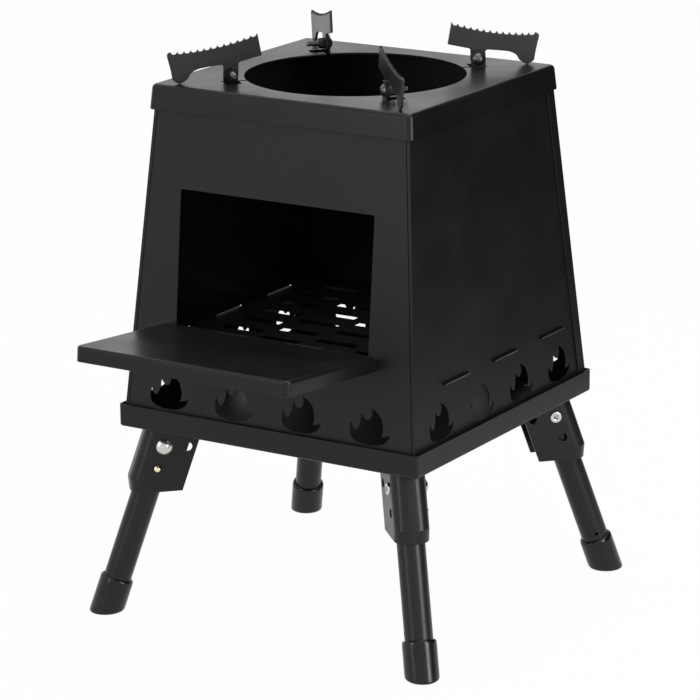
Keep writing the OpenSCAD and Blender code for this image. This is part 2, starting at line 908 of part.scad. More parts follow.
// Solid core of the channel, set in by an inset: the straight run cut by the turned run
module channel_core(inset, turn_z, turn) {
    reach = bracket_reach + inset;
    intersection() {
        translate([0, 0, -reach])
            linear_extrude(2 * reach)
                core_plan(inset, 0, bracket_front + 2 * inset);
        translate([bracket_back - inset, 0, turn_z])
            rotate([0, turn, 0])
                translate([inset - bracket_back, 0, -2 * reach])
                    linear_extrude(4 * reach)
                        core_plan(inset, core_flare, 2 * reach);
    }
}

// Plan of the core: round edges at the back, sides that flare by an angle, open end at a reach
module core_plan(inset, flare, reach) {
    r = bracket_r - inset;
    edge_x = bracket_back - bracket_r;
    edge_y = plate_out - bracket_r;
    open_y = edge_y + r * cos(flare) + (edge_x + r * sin(flare) + reach) * tan(flare);
    polygon(concat(
        [[-reach, -open_y]],
        arc(edge_x, -edge_y, r, flare - quarter, 0),
        arc(edge_x, edge_y, r, 0, quarter - flare),
        [[-reach, open_y]]
    ));
}

module leg_pivot_rivets() {
    color("#c9c9c6")
        for (i = corners)
            on_leg(i)
                difference() {
                    union() {
                        along_pivot(-plate_out - pivot_ring_h)
                            rod(pivot_d / 2, 2 * plate_out + pivot_ring_h);
                        along_pivot(-plate_out - pivot_ring_h)
                            rod(pivot_ring_d / 2, pivot_ring_h);
                        translate([0, plate_out, 0])
                            rotate([quarter, 0, 0])
                                dome((pow(pivot_head_d / 2, 2) + pow(pivot_head_h, 2)) / (2 * pivot_head_h),
                                    pivot_head_h);
                    }
                    along_pivot(-plate_out - pivot_ring_h - over)
                        rod(pivot_bore_d / 2, pivot_bore_l + over);
                }
}

module leg_tube(i) {
    color("#37383a")
        on_leg(i)
            difference() {
                translate([0, 0, -tube_low])
                    rod(tube_r, tube_low + tube_over);
                translate([0, 0, -tube_low - over])
                    rod(tube_in_r, tube_low + tube_over + 2 * over);
                along_pivot(-tube_d)
                    rod(pivot_d / 2 + run_fit, 2 * tube_d);
                translate([0, 0, -button_reach])
                    along_pivot(0)
                        rod(button_d / 2 + run_fit, tube_d);
                translate([0, 0, -foot_rim + 2 * pin_hole_d])
                    along_pivot(-tube_d)
                        rod(pin_hole_d / 2, tube_d);
            }
}

// A foot cap: a boot over the tube's end, cut level with the ground
module foot_cap(i) {
    long = foot_l + foot_d;
    color("#18181a")
        difference() {
            on_leg(i)
                difference() {
                    translate([0, 0, -foot_rim - long])
                        rotate_extrude($fn = round_fn)
                            polygon([
                                [0, 0], [foot_d / 2, 0], [foot_d / 2, long - foot_l / 2],
                                [foot_rim_r, long], [0, long]
                            ]);
                    translate([0, 0, -tube_low])
                        rod(tube_r + fixed_fit, tube_low);
                }
            on_corner(i)
                translate([foot_r - long, -long, -2 * long])
                    cube([2 * long, 2 * long, 2 * long]);
        }
}

module snap_button(i) {
    root = button_tip_off - button_l;
    dome_r = (pow(button_d / 2, 2) + pow(button_dome_h, 2)) / (2 * button_dome_h);
    color("#b89a4e")
        on_leg(i)
            translate([0, 0, -button_reach])
                union() {
                    along_pivot(root)
                        rod(button_d / 2, button_l - button_dome_h);
                    along_pivot(root)
                        rod(button_collar_d / 2, button_collar_h);
                    translate([0, button_tip_off - button_dome_h, 0])
                        rotate([quarter, 0, 0])
                            dome(dome_r, button_dome_h);
                }
}

// Bent strip spring in the tube, its back on the tube's far wall
module button_spring(i) {
    back = -tube_in_r * cos(asin(spring_w / 2 / tube_in_r)) + seam;
    front = button_tip_off - button_l - button_travel - seam;
    bend_z = -button_reach - spring_l;
    color("#9a9a98")
        on_leg(i)
            translate([-spring_w / 2, 0, 0])
                rotate([quarter, 0, quarter])
                    linear_extrude(spring_w)
                        union() {
                            translate([back, bend_z])
                                square([spring_strip, spring_l * 1.3]);
                            translate([back + spring_bend_r, bend_z])
                                difference() {
                                    circle(spring_bend_r, $fn = round_fn);
                                    circle(spring_bend_r - spring_strip, $fn = round_fn);
                                    translate([-2 * spring_bend_r, 0])
                                        square(4 * spring_bend_r);
                                }
                            polygon([
                                [back + 2 * spring_bend_r - spring_strip, bend_z],
                                [back + 2 * spring_bend_r, bend_z],
                                [front, -button_reach],
                                [front, -button_reach + button_d / 2],
                                [front - spring_strip, -button_reach + button_d / 2],
                                [front - spring_strip, -button_reach]
                            ]);
                        }
}

tray();
front_panel();
back_panel();
left_panel();
right_panel();
grate();
door();
door_hinge_pin();
top_plate();
support_screws();
support_nuts();
pot_support(0);  // pot_support_1
pot_support(1);  // pot_support_2
pot_support(2);  // pot_support_3
pot_support(3);  // pot_support_4
leg_bracket(0);  // leg_bracket_1
leg_bracket(1);  // leg_bracket_2
leg_bracket(2);  // leg_bracket_3
leg_bracket(3);  // leg_bracket_4
bracket_rivets();
leg_pivot_rivets();
leg_tube(0);  // leg_tube_1
leg_tube(1);  // leg_tube_2
leg_tube(2);  // leg_tube_3
leg_tube(3);  // leg_tube_4
foot_cap(0);  // foot_cap_1
foot_cap(1);  // foot_cap_2
foot_cap(2);  // foot_cap_3
foot_cap(3);  // foot_cap_4
snap_button(0);  // snap_button_1
snap_button(1);  // snap_button_2
snap_button(2);  // snap_button_3
snap_button(3);  // snap_button_4
button_spring(0);  // button_spring_1
button_spring(1);  // button_spring_2
button_spring(2);  // button_spring_3
button_spring(3);  // button_spring_4
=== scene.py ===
"""A folding tent wood stove in black coated sheet steel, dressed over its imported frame."""

import json
import math

import bmesh
import bpy
from mathutils import Matrix, Vector


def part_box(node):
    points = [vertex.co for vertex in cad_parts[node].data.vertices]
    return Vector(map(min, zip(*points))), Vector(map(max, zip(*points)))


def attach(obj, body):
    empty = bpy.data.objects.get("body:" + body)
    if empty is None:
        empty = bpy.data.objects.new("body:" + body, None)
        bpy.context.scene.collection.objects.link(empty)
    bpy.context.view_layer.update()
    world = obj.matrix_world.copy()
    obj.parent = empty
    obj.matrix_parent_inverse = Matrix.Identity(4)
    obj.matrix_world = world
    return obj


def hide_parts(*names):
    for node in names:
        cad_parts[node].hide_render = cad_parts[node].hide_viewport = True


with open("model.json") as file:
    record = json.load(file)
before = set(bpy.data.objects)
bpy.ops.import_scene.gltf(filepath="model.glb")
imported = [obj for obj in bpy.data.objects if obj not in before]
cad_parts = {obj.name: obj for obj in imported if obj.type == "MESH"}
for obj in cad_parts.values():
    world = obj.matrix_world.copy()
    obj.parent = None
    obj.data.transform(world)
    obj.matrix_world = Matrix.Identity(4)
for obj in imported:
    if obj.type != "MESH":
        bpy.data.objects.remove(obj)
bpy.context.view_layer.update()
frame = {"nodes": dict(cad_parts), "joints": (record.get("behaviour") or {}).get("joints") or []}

MM = 0.001
CORNERS = range(4)
tray_low, tray_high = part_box("tray")
MID_Y = (tray_low.y + tray_high.y) / 2
places = {joint["name"]: Vector(joint["pos_m"]) for joint in frame["joints"] if "pos_m" in joint}

# Sizes in millimetres and angles in degrees, as the frame has them or rounded from it
TRAY_SHEET = 1.2
DOOR_WIDE, DOOR_LONG, DOOR_LIP, DOOR_SHEET, DOOR_RISE = 174, 108, 11, 1.2, 5
KNUCKLE_R, KNUCKLE_LONG, KNUCKLE_GAP, PIN_R = 2.75, 30, 0.3, 1.5
CAP_SHEET, HOLE_R, CAP_HIGH = 1.5, 79, 17.8
SUPPORT_R, SUPPORT_PIVOT, LUG_WIDE, LUG_HIGH = 90.2, 5.7, 10.6, 12.27
FLIP_SLOT_OUT, FLIP_SLOT_WIDE = 7.4, 2.75
SCREW_R, NUT_FLAT = 2, 3.5
SPLAY, TUBE_R, TUBE_WALL, TUBE_LOW, TUBE_OVER = 19.3, 10, 1.2, 122.9, 9
CAP_R, CAP_RIM = 12.2, 105.4
PIVOT_R, BRACKET_OUT, BUTTON_DROP = 3, 12.5, 17.2
RIVET_R, RIVET_OUT, BRACKET_SHEET = 133.98, 18.5, 1.5

# The walls' foot and height, rounded, and the mean of their leans to the side and to the back
WALL_FOOT, WALL_HIGH, WALL_LEAN = 141, 245, 21.8

# How far in from its screw a flip slot is cut, which is a little past the fire hole's edge
FLIP_SLOT_IN = 12.2

# The depth of a grate tab's outer end that takes bright bare steel, a painted highlight for the light that
# catches the tabs
TAB_END_HIGHLIGHT = 0.3

# What counts as near when parts of a mesh are picked, and from where a face looks along an axis
NEAR, FACING = 0.1, 0.9

# Edges that meet at less than this angle are shaded smooth
SMOOTH_ANGLE = 38

# The ring at a pole keeps a small radius, since a ring without one can't be resized. It is then
# merged to a point.
POLE, POLE_MERGE = 0.005, 0.012

# Corners of the frame's loose triangles that are closer than this are one corner
LOOSE = 0.003

ALONG_Y = Matrix.Rotation(math.radians(-90), 4, "X")
ALONG_X = Matrix.Rotation(math.radians(90), 4, "Y")


# Camera, light and floor, in metres

FLOOR_WIDE = 14
FLAG_WIDE, FLAG_AT = 1.3, (0.48, 0.56, 0.655)
FLAG_TURN = (math.radians(90), 0, math.radians(-34.3))
LAMP_AIM = 0.22
SKY_LIGHT, FLOOR_GLOW = 0.5, 0.97


def set_camera():
    """The camera that took the photograph: from the right of the front, a little above."""
    right = Vector((0.84659154, 0.53215741, -0.00955314))
    up = Vector((-0.13803568, 0.23686032, 0.96168776))
    back = Vector((0.51403203, -0.81283804, 0.27398065))
    place = (1.27307638, MID_Y - 2.02403043, 0.86461834)
    lens = bpy.data.cameras.new("photo_camera")
    lens.sensor_width = 36
    lens.lens = 176.0887
    camera = bpy.data.objects.new("photo_camera", lens)
    bpy.context.scene.collection.objects.link(camera)
    turn = Matrix((right, up, back)).transposed().to_4x4()
    camera.matrix_world = Matrix.Translation(place) @ turn
    bpy.context.scene.camera = camera


def from_hex(colour):
    """An sRGB hex colour as linear red, green, blue and alpha."""
    parts = [int(colour[i:i + 2], 16) / 255 for i in (1, 3, 5)]
    return tuple(p / 12.92 if p <= 0.04045 else ((p + 0.055) / 1.055) ** 2.4 for p in parts) + (1,)


def add_node(tree, kind, values=None, links=None, **settings):
    """Adds a node, gives it its settings and values, and links its inputs."""
    node = tree.nodes.new(kind)
    for key, value in settings.items():
        setattr(node, key, value)
    for key, value in (values or {}).items():
        node.inputs[key].default_value = value
    for key, socket in (links or {}).items():
        tree.links.new(socket, node.inputs[key])
    return node


def bare_tree(holder):
    """The node tree of a world or a material, emptied."""
    holder.use_nodes = True
    holder.node_tree.nodes.clear()
    return holder.node_tree


def seen_plain(tree):
    """1 for what the camera sees directly, in a reflection or through glass, 0 for light."""
    path = add_node(tree, "ShaderNodeLightPath")
    some = add_node(tree, "ShaderNodeMath", operation="MAXIMUM",
                    links={0: path.outputs["Is Camera Ray"], 1: path.outputs["Is Glossy Ray"]})
    return add_node(tree, "ShaderNodeMath", operation="MAXIMUM",
                    links={0: some.outputs[0], 1: path.outputs["Is Transmission Ray"]}).outputs[0]


def set_paper():
    """White paper all round, that gives less light than it shows."""
    world = bpy.data.worlds.new("white_studio")
    bpy.context.scene.world = world
    tree = bare_tree(world)
    light = add_node(tree, "ShaderNodeBackground", {"Color": from_hex("#f2f3f5"), "Strength": SKY_LIGHT})
    paper = add_node(tree, "ShaderNodeBackground", {"Color": from_hex("#ffffff"), "Strength": 1})
    mixed = add_node(tree, "ShaderNodeMixShader", links={
        0: seen_plain(tree), 1: light.outputs[0], 2: paper.outputs[0]})
    add_node(tree, "ShaderNodeOutputWorld", links={"Surface": mixed.outputs[0]})


def lay_floor():
    """A floor that looks nearly as white as the paper, and still takes a faint shadow."""
    paint = bpy.data.materials.new("matt_white_floor")
    tree = bare_tree(paint)
    plain = add_node(tree, "ShaderNodeBsdfDiffuse", {"Color": from_hex("#f0f0f0")})
    white = add_node(tree, "ShaderNodeEmission", {"Color": from_hex("#ffffff"), "Strength": 1})
    share = add_node(tree, "ShaderNodeMath", {1: FLOOR_GLOW}, {0: seen_plain(tree)}, operation="MULTIPLY")
    mixed = add_node(tree, "ShaderNodeMixShader", links={
        0: share.outputs[0], 1: plain.outputs[0], 2: white.outputs[0]})
    add_node(tree, "ShaderNodeOutputMaterial", links={"Surface": mixed.outputs[0]})
    lay_down()
    bpy.ops.mesh.primitive_plane_add(size=FLOOR_WIDE, location=(0, 0, 0))
    floor = bpy.context.object
    floor.name = "floor"
    floor.data.materials.append(paint)


def hang_flag():
    """A black flag behind on the right keeps the paper's white out of the dark side, as in the
    photograph. Only reflections show it."""
    cloth = bpy.data.materials.new("black_velvet_flag")
    tree = bare_tree(cloth)
    velvet = add_node(tree, "ShaderNodeBsdfDiffuse", {"Color": from_hex("#101010")})
    add_node(tree, "ShaderNodeOutputMaterial", links={"Surface": velvet.outputs[0]})
    lay_down()
    bpy.ops.mesh.primitive_plane_add(size=FLAG_WIDE, location=FLAG_AT, rotation=FLAG_TURN)
    flag = bpy.context.object
    flag.name = "flag"
    flag.data.materials.append(cloth)
    flag.visible_camera = flag.visible_diffuse = flag.visible_transmission = flag.visible_shadow = False


def hang_lamps():
    """Three soft lamps: a strong tall one on the right and a weaker one in front, which the tubes and
    caps show as two upright streaks, and one overhead."""
    for name, power, wide, high, at in (
        ("lamp_front", 8, 0.28, 1.1, (-0.65, -2.0, 0.85)),
        ("lamp_overhead", 20, 1.6, 1.6, (0.1, 0.3, 2.2)),
        ("lamp_right", 22, 0.5, 1.3, (1.85, -0.26, 0.7)),
    ):
        data = bpy.data.lights.new(name, "AREA")
        data.energy, data.shape, data.size, data.size_y = power, "RECTANGLE", wide, high
        lamp = bpy.data.objects.new(name, data)
        bpy.context.scene.collection.objects.link(lamp)
        toward = Vector((0, MID_Y, LAMP_AIM)) - Vector(at)
        lamp.matrix_world = Matrix.Translation(at) @ toward.to_track_quat("-Z", "Y").to_matrix().to_4x4()


def set_studio():
    """All of the studio, and a plain conversion of its light to the picture's colours."""
    set_paper()
    lay_floor()
    hang_flag()
    hang_lamps()
    bpy.context.scene.view_settings.view_transform = "Standard"


# Finishes, in mm where they have a size

def new_surface(name):
    """A new material with its node tree and shader, and the piece's own coordinates."""
    material = bpy.data.materials.new(name)
    material.use_nodes = True
    tree = material.node_tree
    place = add_node(tree, "ShaderNodeTexCoord").outputs["Object"]
    return material, tree, tree.nodes["Principled BSDF"], place


def add_noise(tree, place, across, detail, roughness):
    """Noise in patches of about that size."""
    return add_node(tree, "ShaderNodeTexNoise", {
        "Scale": 1 / (across * MM), "Detail": detail, "Roughness": roughness},
        {"Vector": place}).outputs["Fac"]


def vary(tree, shader, noise, colours, roughs):
    """Lets the colour and the roughness wander between their two ends with the noise."""
    tint = add_node(tree, "ShaderNodeMixRGB", {
        "Color1": from_hex(colours[0]), "Color2": from_hex(colours[1])}, {"Fac": noise})
    polish = add_node(tree, "ShaderNodeMapRange", {
        "From Min": 0.3, "From Max": 0.7, "To Min": roughs[0], "To Max": roughs[1]}, {"Value": noise})
    tree.links.new(tint.outputs[0], shader.inputs["Base Color"])
    tree.links.new(polish.outputs["Result"], shader.inputs["Roughness"])


def raise_grain(tree, shader, noise, strength, depth):
    """Makes the surface rise and fall with the noise."""
    bump = add_node(tree, "ShaderNodeBump", {"Strength": strength, "Distance": depth * MM},
                    {"Height": noise})
    tree.links.new(bump.outputs["Normal"], shader.inputs["Normal"])


def coated_steel(name, colours, roughs, grain, depth, shine=0.28):
    """Sheet steel under a black heat-proof powder coat: near black, with a soft satin sheen that
    turns grey at a low angle, a fine orange-peel grain, and a slight cloudiness in the sheen."""
    coat, tree, shader, place = new_surface(name)
    # Clouds 45 mm across, from the spray gun's passes
    vary(tree, shader, add_noise(tree, place, 45, 3, 0.5), colours, roughs)
    # Powder grain, drawn at about 1 mm where the real grain is 0.2 mm, or it would not show
    raise_grain(tree, shader, add_noise(tree, place, grain, 2, 0.6), 0.35, depth)
    shader.inputs["IOR"].default_value = 1.46
    shader.inputs["Specular IOR Level"].default_value = shine
    return coat


def plated_metal(name, colours, roughs, streak):
    """Small turned or pressed metal parts with a thin plating or a bare tumbled surface: bright, with
    a soft mirror and faint marks from the tumbling."""
    metal, tree, shader, place = new_surface(name)
    shader.inputs["Metallic"].default_value = 1
    marks = add_noise(tree, place, streak, 3, 0.6)
    vary(tree, shader, marks, colours, roughs)
    raise_grain(tree, shader, marks, 0.2, 0.03)
    return metal


def moulded_cap_plastic():
    """Black polyethylene, injection moulded in a polished mould: glossy, with sharp narrow lights and
    a faint waviness from shrinking."""
    plastic, tree, shader, place = new_surface("moulded_black_polyethylene")
    # Shrink waves about 9 mm across
    waves = add_noise(tree, place, 9, 1, 0.4)
    vary(tree, shader, waves, ("#0e0e0f", "#141416"), (0.16, 0.26))
    raise_grain(tree, shader, waves, 0.25, 0.25)
    shader.inputs["IOR"].default_value = 1.5
    shader.inputs["Specular IOR Level"].default_value = 0.3
    return plastic


# The bench: shaping by hand, in mm

def lay_down():
    """Leaves edit mode, and lays everything down."""
    if bpy.context.object and bpy.context.object.mode == "EDIT":
        bpy.ops.object.mode_set(mode="OBJECT")
    bpy.ops.object.select_all(action="DESELECT")


def take(piece):
    """Takes one piece in hand, and lays everything else down."""
    lay_down()
    piece.select_set(True)
    bpy.context.view_layer.objects.active = piece
    return piece


def open_mesh(piece):
    """Takes a piece into edit mode with all of its mesh picked."""
    take(piece)
    bpy.ops.object.mode_set(mode="EDIT")
    bpy.ops.mesh.select_all(action="SELECT")


def settle(piece, place=None):
    """Puts a piece in its place, and its place in its mesh."""
    take(piece)
    if place is not None:
        piece.matrix_world = place @ piece.matrix_world
    bpy.ops.object.transform_apply(location=True, rotation=True, scale=True)
    return piece


def start_block(name, low, high):
    """A block between two corners."""
    lay_down()
    bpy.ops.mesh.primitive_cube_add(size=MM)
    block = bpy.context.object
    block.name = block.data.name = name
    block.location = [(a + b) / 2 * MM for a, b in zip(low, high)]
    block.scale = [b - a for a, b in zip(low, high)]
    return settle(block)


def pick(piece, kind, wanted):
    """In edit mode, picks the vertices, edges or faces whose place in mm, and direction, are wanted."""
    take(piece)
    bpy.ops.object.mode_set(mode="EDIT")
    bpy.ops.mesh.select_mode(type=kind)
    bpy.ops.mesh.select_all(action="DESELECT")
    shape = bmesh.from_edit_mesh(piece.data)
    found = 0
    for part in {"VERT": shape.verts, "EDGE": shape.edges, "FACE": shape.faces}[kind]:
        if kind == "VERT":
            chosen = wanted(part.co / MM)
        elif kind == "EDGE":
            a, b = (v.co / MM for v in part.verts)
            chosen = wanted((a + b) / 2, b - a)
        else:
            chosen = wanted(part.calc_center_median() / MM, part.normal)
        if chosen:
            part.select_set(True)
            found += 1
    bmesh.update_edit_mesh(piece.data)
    if not found:
        raise ValueError(f"nothing to pick on {piece.name}")


def round_off(piece, wanted, width, steps):
    """Rounds the edges that are wanted, as a bend or a corner is round."""
    pick(piece, "EDGE", wanted)
    bpy.ops.mesh.bevel(offset=width * MM, segments=steps, affect="EDGES")


def apply_modifier(piece, kind, **settings):
    """Gives a piece a modifier, and makes it part of the mesh at once."""
    take(piece)
    modifier = piece.modifiers.new(kind.lower(), kind)
    for key, value in settings.items():
        setattr(modifier, key, value)
    bpy.ops.object.modifier_apply(modifier=modifier.name)


def thicken(piece, sheet):
    """Gives a folded sheet its thickness, on the inside."""
    apply_modifier(piece, "SOLIDIFY", thickness=sheet * MM, offset=-1, use_even_offset=True)


def ease_edges(piece, width, steps=2, angle=30):
    """Takes the sharpness off every edge, as the coat does on cut and bent sheet."""
    apply_modifier(piece, "BEVEL", width=width * MM, segments=steps, limit_method="ANGLE",
                   angle_limit=math.radians(angle), use_clamp_overlap=False)


def cut_out(piece, tool, way="DIFFERENCE"):
    """Cuts a piece with a tool piece, and puts the tool away."""
    apply_modifier(piece, "BOOLEAN", object=tool, operation=way, solver="EXACT")
    bpy.data.objects.remove(tool)


def join(name, parts):
    """Makes several parts one piece."""
    take(parts[0])
    for part in parts[1:]:
        part.select_set(True)
    bpy.ops.object.join()
    parts[0].name = parts[0].data.name = name
    return parts[0]


def copy_to(piece, name, place):
    """A copy with a mesh of its own, in its place."""
    twin = piece.copy()
    twin.data = piece.data.copy()
    twin.name = twin.data.name = name
    bpy.context.scene.collection.objects.link(twin)
    twin.matrix_world = Matrix.Identity(4)
    return settle(twin, place)


def spread(piece, name, spots):
    """Copies a piece to each of its spots, and puts the piece itself away."""
    twins = [copy_to(piece, f"{name}_{k}", spot) for k, spot in enumerate(spots)]
    bpy.data.objects.remove(piece)
    return twins


def finish(piece, coat, body, node):
    """Shades a piece, coats it, sets it on its body and hides the frame's node that it replaces."""
    settle(piece)
    bpy.ops.object.shade_smooth_by_angle(angle=math.radians(SMOOTH_ANGLE), keep_sharp_edges=False)
    apply_modifier(piece, "WEIGHTED_NORMAL", keep_sharp=True, weight=100)
    piece.data.materials.clear()
    piece.data.materials.append(coat)
    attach(piece, body)
    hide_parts(node)


def turn_piece(name, rings, sides):
    """Turns a piece about Z as on a lathe: a ring of (height, radius) is extruded and resized to the
    next."""
    lay_down()
    bpy.ops.mesh.primitive_circle_add(vertices=sides, radius=rings[0][1] * MM, fill_type="NOTHING")
    piece = bpy.context.object
    piece.name = piece.data.name = name
    piece.location.z = rings[0][0] * MM
    settle(piece)
    open_mesh(piece)
    for (low, wide), (high, next_wide) in zip(rings, rings[1:]):
        bpy.ops.mesh.extrude_region_move(TRANSFORM_OT_translate={"value": (0, 0, (high - low) * MM)})
        ratio = next_wide / wide
        bpy.ops.transform.resize(value=(ratio, ratio, 1), center_override=(0, 0, high * MM))
    bpy.ops.mesh.select_all(action="SELECT")
    bpy.ops.mesh.remove_doubles(threshold=POLE_MERGE * MM)
    bpy.ops.mesh.normals_make_consistent(inside=False)
    bpy.ops.object.mode_set(mode="OBJECT")
    return piece


def dome_rings(base, wide, rise, steps=7):
    """Rings of a shallow dome from its edge to its pole."""
    ball = (wide ** 2 + rise ** 2) / (2 * abs(rise))
    full = math.asin(wide / ball)
    rings = []
    for step in range(steps + 1):
        a = full * (1 - step / steps)
        height = abs(rise) - ball * (1 - math.cos(a))
        rings.append((base + math.copysign(height, rise), max(ball * math.sin(a), POLE)))
    return rings


def from_frame(node, name):
    """A copy of a CAD node as a bench piece, its loose triangles merged."""
    source = frame["nodes"][node]
    piece = source.copy()
    piece.data = source.data.copy()
    for key in list(piece.keys()):
        del piece[key]
    piece.name = piece.data.name = name
    piece.parent = None
    piece.matrix_world = Matrix.Identity(4)
    bpy.context.scene.collection.objects.link(piece)
    take(piece)
    bpy.ops.mesh.customdata_custom_splitnormals_clear()
    open_mesh(piece)
    bpy.ops.mesh.remove_doubles(threshold=LOOSE * MM)
    bpy.ops.object.mode_set(mode="OBJECT")
    return piece


def corner_turn(i):
    """The turn from the right side toward a corner of the tray."""
    return Matrix.Rotation(math.radians(45 + 90 * i), 4, "Z")


def corner_place(i):
    """On the ground in the middle of the tray, X toward a corner."""
    return Matrix.Translation((0, MID_Y, 0)) @ corner_turn(i)


def leg_place(i):
    """At a leg's rivet, Z up along the leg and Y along the rivet."""
    start = places[f"leg_fold_{i + 1}"]
    return Matrix.Translation(start) @ corner_turn(i) @ Matrix.Rotation(math.radians(-SPLAY), 4, "Y")


def support_place(i):
    """At a support's screw, X outward toward the corner and Y along the screw."""
    return Matrix.Translation(places[f"support_flip_{i + 1}"]) @ corner_turn(i)


# The pieces, in mm

def make_tray(coat):
    """Folded from one sheet: a block loses its top, its corners and bends are rounded, then the
    sheet gets its thickness."""
    corner_round, bend_round = 3, 1.9
    low, high = tray_low / MM, tray_high / MM
    tray = start_block("ash_tray", low, high)
    pick(tray, "FACE", lambda at, way: way.z > FACING)
    bpy.ops.mesh.delete(type="FACE")
    round_off(tray, lambda at, way: abs(way.z) > 5, corner_round, 5)
    round_off(tray, lambda at, way: at.z < low.z + NEAR, bend_round, 4)
    thicken(tray, TRAY_SHEET)
    ease_edges(tray, 0.3, angle=50)
    finish(tray, coat, "stove_body", "tray")


def up_the_corner(at, way, reach, toward):
    """True for an edge of a wall that runs up along the wall's outermost corner."""
    long_edge, steep, close = 60, 0.3, 1.2
    out = abs(at.x) + toward * (at.y - MID_Y / MM)
    lean = (abs(way.x) + abs(way.y)) / max(abs(way.z), 0.001)
    rise = (at.z - WALL_FOOT) / WALL_HIGH
    corner = reach - rise * 2 * WALL_LEAN
    return abs(way.z) > long_edge and lean < steep and out > corner - close


def make_walls(coat):
    """The walls keep the frame's outline. The corner where a side panel turns in, and the back's
    wrapped flanges, get the round of a press bend, and every cut edge is eased by the coat."""
    bend_round = 1.3
    for node, name in (("front_panel", "front_wall"), ("back_panel", "back_wall"),
                       ("left_panel", "left_wall"), ("right_panel", "right_wall")):
        wall = from_frame(node, name)
        if node != "front_panel":
            reach = max(abs(v.co.x) + abs(v.co.y - MID_Y) for v in wall.data.vertices) / MM
            toward = 1 if node == "back_panel" else -1
            round_off(wall, lambda at, way: up_the_corner(at, way, reach, toward), bend_round, 3)
        ease_edges(wall, 0.16, steps=1, angle=40)
        finish(wall, coat, "stove_body", node)


def make_grate(coat, tab_highlight_steel):
    """The grate's tabs stand through the side walls. Their cut ends are given bright bare steel, a painted
    highlight standing in for the light that catches the tabs.
    """
    grate = from_frame("grate", "fire_grate")
    ease_edges(grate, 0.2, steps=1, angle=40)
    finish(grate, coat, "stove_body", "grate")
    grate.data.materials.append(tab_highlight_steel)
    reach = max(abs(v.co.x) for v in grate.data.vertices)
    # Painted highlight: the outward faces at the tab ends take the bright bare steel
    for face in grate.data.polygons:
        if abs(face.center.x) > reach - TAB_END_HIGHLIGHT * MM and abs(face.normal.x) > FACING:
            face.material_index = 1


def shape_knuckle():
    """One rolled knuckle of the door, about the hinge's line."""
    half = KNUCKLE_LONG / 2 - KNUCKLE_GAP
    chamfer, bore = 0.2, PIN_R + 0.05
    knuckle = turn_piece("knuckle", [
        (-half, bore), (-half, KNUCKLE_R - chamfer), (chamfer - half, KNUCKLE_R),
        (half - chamfer, KNUCKLE_R), (half, KNUCKLE_R - chamfer), (half, bore), (-half, bore)], 32)
    return settle(knuckle, ALONG_X)


def make_door(coat):
    """A pan: a sheet with round front corners, its lips folded down, and knuckles rolled at the
    back."""
    corner_round, bend_round, curl_in = 5, 1.8, 2.2
    notch_front, notch_back = -3.46, 2
    top = KNUCKLE_R
    lay_down()
    bpy.ops.mesh.primitive_plane_add(size=MM)
    door = bpy.context.object
    door.name = door.data.name = "fuel_door_pan"
    door.scale = (DOOR_WIDE, DOOR_LONG, 1)
    door.location = (0, -DOOR_LONG / 2 * MM, top * MM)
    settle(door)
    pick(door, "VERT", lambda at: at.y < 1 - DOOR_LONG)
    bpy.ops.mesh.bevel(offset=corner_round * MM, segments=6, affect="VERTICES")
    pick(door, "EDGE", lambda at, way: at.y < -0.5)
    bpy.ops.mesh.extrude_region_move(TRANSFORM_OT_translate={"value": (0, 0, -DOOR_LIP * MM)})
    round_off(door, lambda at, way: at.y < -0.5 and at.z > top - NEAR, bend_round, 4)
    bpy.ops.mesh.select_all(action="SELECT")
    bpy.ops.mesh.bisect(plane_co=(0, 0, -KNUCKLE_GAP * MM), plane_no=(0, 0, 1))
    pick(door, "EDGE", lambda at, way: at.y > -0.05 and at.z < -KNUCKLE_GAP - NEAR)
    bpy.ops.mesh.extrude_region_move(TRANSFORM_OT_translate={"value": (0, curl_in * MM, 0)})
    bpy.ops.mesh.select_all(action="SELECT")
    bpy.ops.mesh.normals_make_consistent(inside=False)
    thicken(door, DOOR_SHEET)
    for k in (-1, 1):
        start = (k - 0.5) * KNUCKLE_LONG
        cut_out(door, start_block("notch", (start, notch_front, 0),
                                  (start + KNUCKLE_LONG, notch_back, top + 1)))
    ease_edges(door, 0.25, angle=45)
    knuckles = spread(shape_knuckle(), "knuckle", [
        Matrix.Translation((2 * k * KNUCKLE_LONG * MM, 0, 0)) for k in (-1, 0, 1)])
    door = join("fuel_door_pan", [door] + knuckles)
    rise = Matrix.Rotation(math.radians(-DOOR_RISE), 4, "X")
    settle(door, Matrix.Translation(places["door_hinge"]) @ rise)
    finish(door, coat, "fuel_door", "door")


def make_hinge_pin(steel):
    """A plain rod with both ends domed."""
    low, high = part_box("door_hinge_pin")
    dome = 0.6
    shoulder = (high.x - low.x) / 2 / MM - dome
    pin = turn_piece("hinge_rod", dome_rings(-shoulder, PIN_R, -dome, 4)[::-1]
                     + dome_rings(shoulder, PIN_R, dome, 4), 24)
    settle(pin, Matrix.Translation(places["door_hinge"]) @ ALONG_X)
    finish(pin, steel, "stove_body", "door_hinge_pin")


def cut_top_plate(plate, top):
    """Cuts the fire hole, the windows that the lugs were bent out of and the flip slots."""
    side = CAP_SHEET / 2
    low, high = top - 4, top + 2
    punch_high = top + 3
    punch = turn_piece("hole_punch", [
        (low, POLE), (low, HOLE_R), (punch_high, HOLE_R), (punch_high, POLE)], 144)
    cut_out(plate, settle(punch, Matrix.Translation((0, MID_Y, 0))))
    # The window starts inside the flip slot, so that the two cuts share no side
    window_start, window_end = side + 1, side + 13
    for i in CORNERS:
        window = start_block("window", (SUPPORT_R - LUG_WIDE / 2, window_start, low),
                             (SUPPORT_R + LUG_WIDE / 2, window_end, high))
        cut_out(plate, settle(window, corner_place(i)))
        flip_slot = start_block("flip_slot", (SUPPORT_R - FLIP_SLOT_IN, side, low + 0.1),
                                (SUPPORT_R + FLIP_SLOT_OUT, side + FLIP_SLOT_WIDE, high - 0.1))
        cut_out(plate, settle(flip_slot, corner_place(i)))


